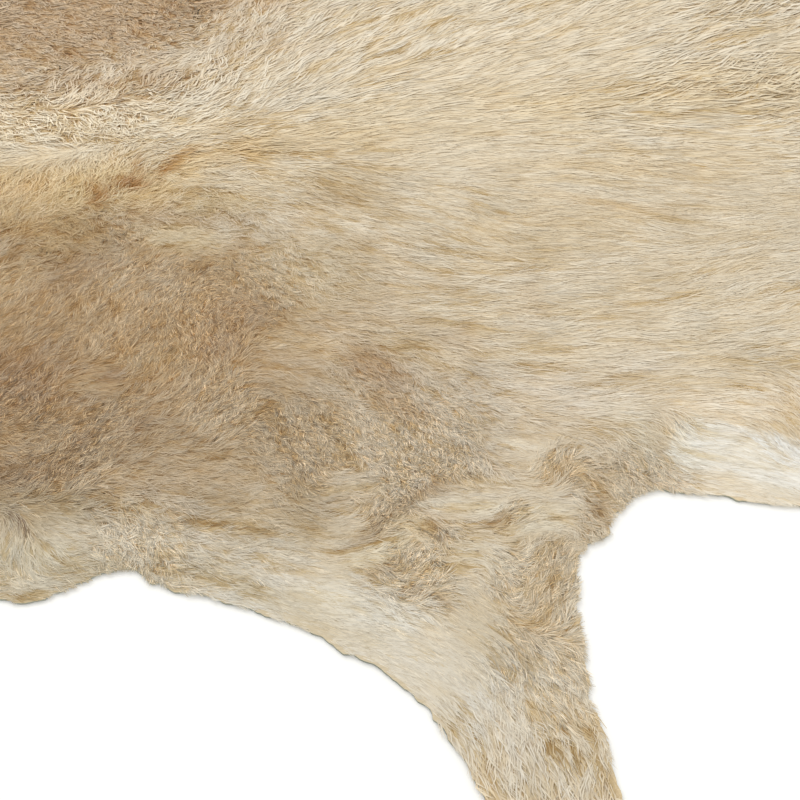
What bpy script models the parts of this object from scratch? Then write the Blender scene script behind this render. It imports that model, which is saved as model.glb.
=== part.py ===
"""A hair-on cowhide rug: one whole hide lying flat, hair side up.

Metres, +Z up. +X runs along the spine from the neck to the tail, and +Y from the near flank to the
far one. The underside lies flat on z = 0, and the origin is under the middle of the hide's box.
"""

import math
import random

import bmesh
import bpy
import numpy as np
from mathutils import Vector, geometry, noise

# Driving dimensions
LEATHER = 0.0025
PILE = 0.0055
LUMP = 0.0016
LUMP_SIZE = 0.11
RIM_HEIGHT = 0.0030
TIP_HEIGHT = 0.0018
RIM_BAND = 0.014
BAND_PITCH = 0.040
LOCK_PITCH = 0.028
LOCK_REACH = (0.002, 0.008)
LOCK_SWEEP = 0.25
SURFACE_STEP = 0.052
NET_MARGIN = 0.042
CURVE_STEP = 0.004
INSIDE_SKIP = 4
SHARP_EDGE = math.radians(50)
FAR_SIDE_WAVE = 0.012
FAR_SIDE_WAVELENGTH = 0.26
HAIR_COLOUR = (0.54, 0.42, 0.27, 1.0)
HAIR_ROUGHNESS = 0.85

# One side of the outline from the neck end to the tail: landmark, distance along the spine from
# the hide's middle, distance out from the spine.
SIDE = (
    ("neck end", -1.100, 0.000),
    ("neck corner", -1.105, 0.190),
    ("throat", -1.005, 0.360),
    ("brisket front", -0.900, 0.570),
    ("brisket", -0.810, 0.624),
    ("notch", -0.722, 0.606),
    ("shoulder point", -0.640, 0.648),
    ("upper foreleg front", -0.505, 0.737),
    ("foreleg front", -0.445, 0.845),
    ("forefoot front", -0.425, 0.930),
    ("forefoot back", -0.345, 0.940),
    ("knee", -0.334, 0.770),
    ("foreleg back", -0.320, 0.690),
    ("elbow", -0.288, 0.648),
    ("armpit", -0.216, 0.606),
    ("belly front", -0.090, 0.646),
    ("belly", 0.150, 0.722),
    ("flank", 0.440, 0.645),
    ("stifle", 0.580, 0.665),
    ("hind leg front", 0.685, 0.830),
    ("hind foot front", 0.735, 0.965),
    ("hind foot back", 0.845, 0.980),
    ("hock", 0.875, 0.840),
    ("thigh", 0.895, 0.650),
    ("buttock", 0.940, 0.440),
    ("pin bone", 1.005, 0.300),
    ("rump", 1.070, 0.170),
    ("tail root", 1.085, 0.070),
    ("tail end", 1.115, 0.000),
)

# Swells and soft folds of the hide: name, place along the spine, place across it (the near side is
# negative), turn from the spine in degrees, half length, half width, height.
FOLDS = (
    ("neck crest", -0.780, -0.020, -4.0, 0.300, 0.060, 0.0045),
    ("spine swell", 0.150, 0.000, 0.0, 0.700, 0.120, 0.0020),
    ("rump swell", 0.780, 0.020, 8.0, 0.200, 0.150, 0.0025),
    ("near shoulder fold", -0.560, -0.520, 58.0, 0.110, 0.040, 0.0035),
    ("near leg fold", -0.440, -0.600, 64.0, 0.120, 0.040, 0.0030),
    ("near elbow fold", -0.330, -0.540, 20.0, 0.100, 0.040, 0.0025),
    ("near flank fold", 0.420, -0.480, 40.0, 0.160, 0.050, 0.0030),
    ("far shoulder fold", -0.540, 0.500, -52.0, 0.130, 0.045, 0.0030),
    ("far flank fold", 0.460, 0.460, -36.0, 0.150, 0.050, 0.0030),
    ("neck fold", -0.960, 0.060, 84.0, 0.220, 0.045, 0.0025),
)


def clear_scene():
    for thing in list(bpy.data.objects):
        bpy.data.objects.remove(thing)


def far_side(along, out):
    """The far side's landmark: the near one mirrored, a little uneven as any hide is."""
    wave = FAR_SIDE_WAVE * math.sin(along / FAR_SIDE_WAVELENGTH)
    return along + wave, out - wave


def landmarks():
    """The whole outline's landmarks, anticlockwise from above, from the neck along the near side."""
    near = [Vector((along, -out)) for _, along, out in SIDE]
    far = [Vector(far_side(along, out)) for _, along, out in SIDE[1:-1]]
    return near + far[::-1]


def smooth_loop(points):
    """A closed Catmull-Rom curve through the points, as close evenly spaced points."""
    count = len(points)
    loop = []
    for index in range(count):
        before, start, end, after = (points[(index + shift) % count] for shift in (-1, 0, 1, 2))
        steps = max(2, round((end - start).length / CURVE_STEP))
        for step in range(steps):
            t = step / steps
            loop.append(
                0.5 * (2 * start + (end - before) * t
                       + (2 * before - 5 * start + 4 * end - after) * t**2
                       + (3 * start - before - 3 * end + after) * t**3)
            )
    return loop


def evenly_spaced(loop, pitch):
    """Points at equal steps round the closed loop, each with its outward direction."""
    ends = loop[1:] + loop[:1]
    lengths = [(end - start).length for start, end in zip(loop, ends)]
    travelled = np.concatenate([[0.0], np.cumsum(lengths)])
    count = round(travelled[-1] / pitch)
    stations = np.arange(count) * travelled[-1] / count
    xs = np.interp(stations, travelled, [p.x for p in loop] + [loop[0].x])
    ys = np.interp(stations, travelled, [p.y for p in loop] + [loop[0].y])
    spots = [Vector(pair) for pair in zip(xs, ys)]
    result = []
    for index, spot in enumerate(spots):
        run = spots[(index + 1) % count] - spots[index - 1]
        result.append((spot, Vector((run.y, -run.x)).normalized()))
    return result


def rim_of(loop):
    """The rim: a low notch and a lower tip for each lock of hair that reaches past the leather."""
    dice = random.Random(7)
    rim = []
    spots = evenly_spaced(loop, LOCK_PITCH)
    for index, (spot, outward) in enumerate(spots):
        following = spots[(index + 1) % len(spots)][0]
        reach = dice.uniform(*LOCK_REACH)
        middle = spot.lerp(following, 0.5 + LOCK_SWEEP * dice.uniform(-1, 1))
        rim.append((spot, RIM_HEIGHT))
        rim.append((middle + outward * reach, TIP_HEIGHT))
    return rim


def fold_height(spot):
    """How far the folds and swells raise the hide there."""
    height = 0.0
    for _, along, across, turn, half_length, half_width, rise in FOLDS:
        away = spot - Vector((along, across))
        angle = math.radians(turn)
        lengthwise = away.x * math.cos(angle) + away.y * math.sin(angle)
        sideways = -away.x * math.sin(angle) + away.y * math.cos(angle)
        height += rise * math.exp(-((lengthwise / half_length) ** 2) - (sideways / half_width) ** 2)
    return height


def top_height(spot):
    lumps = noise.noise(Vector((spot.x, spot.y, 0.0)) / LUMP_SIZE)
    return LEATHER + PILE + LUMP * lumps + fold_height(spot)


def inside(spot, loop):
    """True where a line from the spot crosses the loop an odd number of times."""
    crossings = 0
    for start, end in zip(loop, loop[1:] + loop[:1]):
        if (start.y > spot.y) != (end.y > spot.y):
            reach = start.x + (spot.y - start.y) * (end.x - start.x) / (end.y - start.y)
            crossings += spot.x < reach
    return crossings % 2 == 1


def inner_points(loop):
    """The top's own points: a row just inside the rim, then a staggered net over the whole hide."""
    band = [spot - outward * RIM_BAND for spot, outward in evenly_spaced(loop, BAND_PITCH)]
    coarse = loop[::INSIDE_SKIP]
    rows = round(max(p.y for p in loop) / SURFACE_STEP)
    columns = round(max(p.x for p in loop) / SURFACE_STEP)
    net = []
    for row in range(-rows, rows + 1):
        for column in range(-columns, columns + 1):
            spot = Vector(((column + 0.5 * (row % 2)) * SURFACE_STEP, row * SURFACE_STEP))
            if inside(spot, coarse) and min((spot - p).length for p in coarse) > NET_MARGIN:
                net.append(spot)
    return band + net


def top_surface(loop):
    """The upper side, triangulated between the rim and the inner points."""
    rim = rim_of(loop)
    inner = inner_points(loop)
    spots = [spot for spot, _ in rim] + inner
    heights = [height for _, height in rim] + [top_height(spot) for spot in inner]
    edges = [(index, (index + 1) % len(rim)) for index in range(len(rim))]
    flat, _, faces, origins, _, _ = geometry.delaunay_2d_cdt(spots, edges, [], 1, 1e-6)
    points = [(spot.x, spot.y, heights[origin[0]]) for spot, origin in zip(flat, origins)]
    return points, faces


def centred(points):
    """The points moved so that the origin is under the middle of their box."""
    flat = np.array(points)
    flat[:, :2] -= (flat[:, :2].min(axis=0) + flat[:, :2].max(axis=0)) / 2
    return flat.tolist()


def hide_mesh():
    """The solid: the top, a wall down from its rim, and one flat underside."""
    points, faces = top_surface(smooth_loop(landmarks()))
    mesh = bpy.data.meshes.new("hide")
    mesh.from_pydata(centred(points), [], faces)
    shape = bmesh.new()
    shape.from_mesh(mesh)
    bmesh.ops.recalc_face_normals(shape, faces=shape.faces)
    if sum(face.normal.z for face in shape.faces) < 0:
        bmesh.ops.reverse_faces(shape, faces=shape.faces)
    rim_edges = [edge for edge in shape.edges if edge.is_boundary]
    wall = bmesh.ops.extrude_edge_only(shape, edges=rim_edges)["geom"]
    for corner in (item for item in wall if isinstance(item, bmesh.types.BMVert)):
        corner.co.z = 0.0
    bmesh.ops.holes_fill(shape, edges=[edge for edge in shape.edges if edge.is_boundary], sides=0)
    bmesh.ops.recalc_face_normals(shape, faces=shape.faces)
    shape.to_mesh(mesh)
    shape.free()
    mesh.shade_smooth()
    mesh.set_sharp_from_angle(angle=SHARP_EDGE)
    return mesh


def hair_material():
    material = bpy.data.materials.new("cream hair on leather")
    material.use_nodes = True
    shader = material.node_tree.nodes["Principled BSDF"]
    shader.inputs["Base Color"].default_value = HAIR_COLOUR
    shader.inputs["Roughness"].default_value = HAIR_ROUGHNESS
    shader.inputs["Metallic"].default_value = 0.0
    return material


clear_scene()
rug = bpy.data.collections.new("cowhide rug")
bpy.context.scene.collection.children.link(rug)
hide = bpy.data.objects.new("hide", hide_mesh())
hide.data.materials.append(hair_material())
rug.objects.link(hide)
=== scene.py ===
import math

import bpy
import numpy as np
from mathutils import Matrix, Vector, geometry


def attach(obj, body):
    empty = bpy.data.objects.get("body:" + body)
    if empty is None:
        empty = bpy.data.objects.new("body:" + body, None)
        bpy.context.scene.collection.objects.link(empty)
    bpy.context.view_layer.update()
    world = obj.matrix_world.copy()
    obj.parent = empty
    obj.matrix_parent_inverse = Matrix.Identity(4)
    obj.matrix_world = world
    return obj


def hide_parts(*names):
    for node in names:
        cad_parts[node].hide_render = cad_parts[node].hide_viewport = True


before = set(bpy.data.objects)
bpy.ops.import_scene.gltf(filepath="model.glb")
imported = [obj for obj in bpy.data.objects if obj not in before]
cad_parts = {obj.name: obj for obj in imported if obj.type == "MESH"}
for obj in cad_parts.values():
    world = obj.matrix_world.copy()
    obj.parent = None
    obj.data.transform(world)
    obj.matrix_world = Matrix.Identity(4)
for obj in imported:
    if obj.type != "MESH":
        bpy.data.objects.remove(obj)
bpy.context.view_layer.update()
bpy.ops.object.select_all(action="DESELECT")

# The leather. One whole hide, tanned with its hair on, two to three millimetres thick, lying hair
# side up. Its outline is set by landmarks down one side, closely where the shoulder and foreleg are
# seen, and it lies flat on the floor but for a few soft swells and folds.
LEATHER_THICKNESS = 0.0023
LEATHER_GAP = 0.0003
OUTLINE_STEP = 0.004
SHEET_STEP = 0.020
SHEET_MARGIN = 0.009
MERGE_UNDER = 1e-7
SMOOTH_UNDER = math.radians(40)
FAR_SIDE_WAVE = 0.012
FAR_SIDE_WAVELENGTH = 0.26
RIM_WANDER = 0.0022

# Random fields are layers of noise. Each has a share, the size of its hills and a seed.
NOISE_LATTICE = 64
NOISE_SHIFT = (31.0, 17.0)
RIM_NOISE = ((1.0, 0.016, 3), (1.0, 0.006, 4))

# Fields that the hair reads are kept on a grid over the hide, and CELL_END keeps a point on its
# last line inside the last cell.
GRID_STEP = 0.006
GRID_MARGIN = 0.05
CELL_END = 1.001

# Landmark, distance along the spine from the hide's middle, distance out from the spine.
SIDE = (
    ("neck end", -1.1, 0.0),
    ("neck corner", -1.105, 0.19),
    ("throat", -1.005, 0.36),
    ("brisket front", -0.9, 0.57),
    ("brisket", -0.815, 0.622),
    ("brisket back", -0.76, 0.618),
    ("notch front", -0.733, 0.609),
    ("notch", -0.715, 0.607),
    ("notch back", -0.699, 0.613),
    ("shoulder edge", -0.67, 0.635),
    ("shoulder point", -0.635, 0.647),
    ("shoulder dip", -0.611, 0.663),
    ("upper foreleg front", -0.565, 0.688),
    ("foreleg bend", -0.53, 0.718),
    ("foreleg front", -0.48, 0.765),
    ("shin", -0.442, 0.845),
    ("forefoot front", -0.425, 0.93),
    ("forefoot back", -0.345, 0.94),
    ("knee", -0.334, 0.79),
    ("foreleg tuft", -0.324, 0.739),
    ("foreleg dip", -0.326, 0.718),
    ("foreleg back", -0.318, 0.69),
    ("elbow under", -0.307, 0.66),
    ("elbow", -0.292, 0.65),
    ("elbow tuft", -0.277, 0.645),
    ("elbow dip", -0.27, 0.632),
    ("armpit front", -0.247, 0.614),
    ("armpit", -0.216, 0.606),
    ("belly front", -0.167, 0.619),
    ("belly edge", -0.09, 0.646),
    ("belly", 0.15, 0.722),
    ("flank", 0.44, 0.645),
    ("stifle", 0.58, 0.665),
    ("hind leg front", 0.685, 0.83),
    ("hind foot front", 0.735, 0.965),
    ("hind foot back", 0.845, 0.98),
    ("hock", 0.875, 0.84),
    ("thigh", 0.895, 0.65),
    ("buttock", 0.94, 0.44),
    ("pin bone", 1.005, 0.3),
    ("rump", 1.07, 0.17),
    ("tail root", 1.085, 0.07),
    ("tail end", 1.115, 0.0),
)

# Swells and soft folds: name, place along the spine, place across it (the near side is negative),
# turn from the spine in degrees, half length, half width, height.
FOLDS = (
    ("neck crest", -0.78, -0.02, -4.0, 0.3, 0.06, 0.0045),
    ("spine swell", 0.15, 0.0, 0.0, 0.7, 0.12, 0.002),
    ("rump swell", 0.78, 0.02, 8.0, 0.2, 0.15, 0.0025),
    ("near shoulder fold", -0.56, -0.52, 58.0, 0.11, 0.04, 0.0035),
    ("near leg fold", -0.44, -0.6, 64.0, 0.12, 0.04, 0.003),
    ("near elbow fold", -0.33, -0.54, 20.0, 0.1, 0.04, 0.0025),
    ("near flank fold", 0.42, -0.48, 40.0, 0.16, 0.05, 0.003),
    ("far shoulder fold", -0.54, 0.5, -52.0, 0.13, 0.045, 0.003),
    ("far flank fold", 0.46, 0.46, -36.0, 0.15, 0.05, 0.003),
    ("neck fold", -0.96, 0.06, 84.0, 0.22, 0.045, 0.0025),
)

# The heights are those of the whole hide with its pile, and the leather has this share of them.
FOLD_LIFT = 0.8


def smooth(share):
    """A share from 0 to 1, eased at both ends."""
    return share * share * (3 - 2 * share)


def between(corners, s, t):
    """The value between four corners, at the share s across and the share t up."""
    lower = corners[0] * (1 - s) + corners[1] * s
    upper = corners[2] * (1 - s) + corners[3] * s
    return lower * (1 - t) + upper * t


def value_noise(x, y, size, seed):
    """A smooth random field between -1 and 1, whose hills are about size apart."""
    lattice = np.random.default_rng(seed).uniform(-1, 1, (NOISE_LATTICE, NOISE_LATTICE))
    u, v = x / size + NOISE_SHIFT[0], y / size + NOISE_SHIFT[1]
    column, row = np.floor(u).astype(int), np.floor(v).astype(int)
    corners = [
        lattice[(row + up) % NOISE_LATTICE, (column + right) % NOISE_LATTICE]
        for up in (0, 1) for right in (0, 1)
    ]
    return between(corners, smooth(u - column), smooth(v - row))


def layered_noise(x, y, layers):
    """Layers of noise added up, each by its share."""
    return sum(share * value_noise(x, y, size, seed) for share, size, seed in layers)


def far_landmark(along, out):
    """The far side's landmark: the near one's, moved a little by a slow wave."""
    wave = FAR_SIDE_WAVE * math.sin(along / FAR_SIDE_WAVELENGTH)
    return along + wave, out - wave


def outline():
    """Close points on a smooth curve through the landmarks, anticlockwise from above."""
    near = [Vector((along, -out)) for _, along, out in SIDE]
    far = [Vector(far_landmark(along, out)) for _, along, out in SIDE[1:-1]]
    marks = near + far[::-1]
    loop = []
    for index in range(len(marks)):
        before, start, end, after = (marks[(index + s) % len(marks)] for s in (-1, 0, 1, 2))
        steps = max(2, round((end - start).length / OUTLINE_STEP))
        for t in (step / steps for step in range(steps)):
            loop.append(
                0.5 * (2 * start + (end - before) * t
                       + (2 * before - 5 * start + 4 * end - after) * t**2
                       + (3 * start - before - 3 * end + after) * t**3)
            )
    loop = np.array(loop)
    run = np.roll(loop, -1, axis=0) - np.roll(loop, 1, axis=0)
    outward = np.stack([run[:, 1], -run[:, 0]], axis=1) / np.linalg.norm(run, axis=1)[:, None]
    wander = RIM_WANDER * layered_noise(loop[:, 0], loop[:, 1], RIM_NOISE)
    return loop + outward * wander[:, None]


edge = outline()
grid_x = np.arange(edge[:, 0].min() - GRID_MARGIN, edge[:, 0].max() + GRID_MARGIN, GRID_STEP)
grid_y = np.arange(edge[:, 1].min() - GRID_MARGIN, edge[:, 1].max() + GRID_MARGIN, GRID_STEP)


def edge_distance():
    """Distance in from the leather's edge over the grid, negative outside."""
    ends = np.roll(edge, -1, axis=0)
    field = np.empty((len(grid_y), len(grid_x)))
    for row, y in enumerate(grid_y):
        crossed = (edge[:, 1] > y) != (ends[:, 1] > y)
        start, end = edge[crossed], ends[crossed]
        cuts = start[:, 0] + (y - start[:, 1]) * (end[:, 0] - start[:, 0]) / (end[:, 1] - start[:, 1])
        inside = np.searchsorted(np.sort(cuts), grid_x) % 2 == 1
        squares = (grid_x[:, None] - edge[:, 0]) ** 2 + (y - edge[:, 1]) ** 2
        field[row] = np.where(inside, 1, -1) * np.sqrt(squares.min(axis=1))
    return field


def read_grid(field, x, y):
    """The grid's value at each point, between its corners."""
    u = np.clip((x - grid_x[0]) / GRID_STEP, 0, len(grid_x) - CELL_END)
    v = np.clip((y - grid_y[0]) / GRID_STEP, 0, len(grid_y) - CELL_END)
    column, row = u.astype(int), v.astype(int)
    corners = [field[row + up, column + right] for up in (0, 1) for right in (0, 1)]
    return between(corners, u - column, v - row)


def in_oval(x, y, along, across, turn, half_length, half_width):
    """Each point's place in an oval, lengthwise and sideways, as shares of its half sizes."""
    angle = math.radians(turn)
    lengthwise = (x - along) * math.cos(angle) + (y - across) * math.sin(angle)
    sideways = (y - across) * math.cos(angle) - (x - along) * math.sin(angle)
    return lengthwise / half_length, sideways / half_width


def mound(x, y, oval):
    """The height of a soft mound over an oval, 1 at its middle."""
    lengthwise, sideways = in_oval(x, y, *oval)
    return np.exp(-(lengthwise**2) - sideways**2)


def leather_height(x, y):
    """How far the underside stands off the floor in the swells and folds."""
    height = np.full(np.shape(x), LEATHER_GAP)
    for _, *oval, rise in FOLDS:
        height = height + FOLD_LIFT * rise * mound(x, y, oval)
    return height


inward = edge_distance()
net_x, net_y = np.meshgrid(
    np.arange(grid_x[0], grid_x[-1], SHEET_STEP), np.arange(grid_y[0], grid_y[-1], SHEET_STEP)
)
net_x[1::2] += SHEET_STEP / 2
held = read_grid(inward, net_x, net_y) > SHEET_MARGIN
spots = np.concatenate([edge, np.stack([net_x[held], net_y[held]], axis=1)])
rim = [(index, (index + 1) % len(edge)) for index in range(len(edge))]
flat, _, faces, _, _, _ = geometry.delaunay_2d_cdt(
    [Vector(spot) for spot in spots.tolist()], rim, [], 1, MERGE_UNDER
)
flat = np.array(flat)
under = len(flat)
underside = leather_height(flat[:, 0], flat[:, 1])
skin = np.concatenate([
    np.column_stack([flat, underside + LEATHER_THICKNESS]),
    np.column_stack([flat, underside]),
])
shell = [tuple(face) for face in faces]
shell += [tuple(index + under for index in reversed(face)) for face in faces]
shell += [(start + under, end + under, end, start) for start, end in rim]
leather_mesh = bpy.data.meshes.new("leather")
leather_mesh.from_pydata(skin.tolist(), [], shell)
leather_mesh.validate()
leather = bpy.data.objects.new("leather", leather_mesh)
bpy.context.collection.objects.link(leather)
bpy.context.view_layer.objects.active = leather
leather.select_set(True)
bpy.ops.object.mode_set(mode="EDIT")
bpy.ops.mesh.select_all(action="SELECT")
bpy.ops.mesh.normals_make_consistent(inside=False)
bpy.ops.object.mode_set(mode="OBJECT")
bpy.ops.object.shade_smooth_by_angle(angle=SMOOTH_UNDER)
leather.select_set(False)
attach(leather, "root")
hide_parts("hide")


# The markings. The coat is cream along the back and side, brown and rough over the shoulder, tawny
# on the crest of the neck and white behind the armpit. Each marking is an oval with a ragged edge,
# and the skin and the hair read the same ones, so the roots match what grows from them. A few ovals
# are painted shade or light rather than coat colour: the brisket crease, the arm and foreleg valleys,
# the cracks and kinks in the crest and the elbow lobe line are darkened with painted shade, and the
# pale arm ridges carry painted light on their tops.
BASE_COAT = "E4D8C1"
MARK_RAGGED = 0.30
MARK_NOISE = ((1.0, 0.045, 51), (0.6, 0.014, 52))

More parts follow.
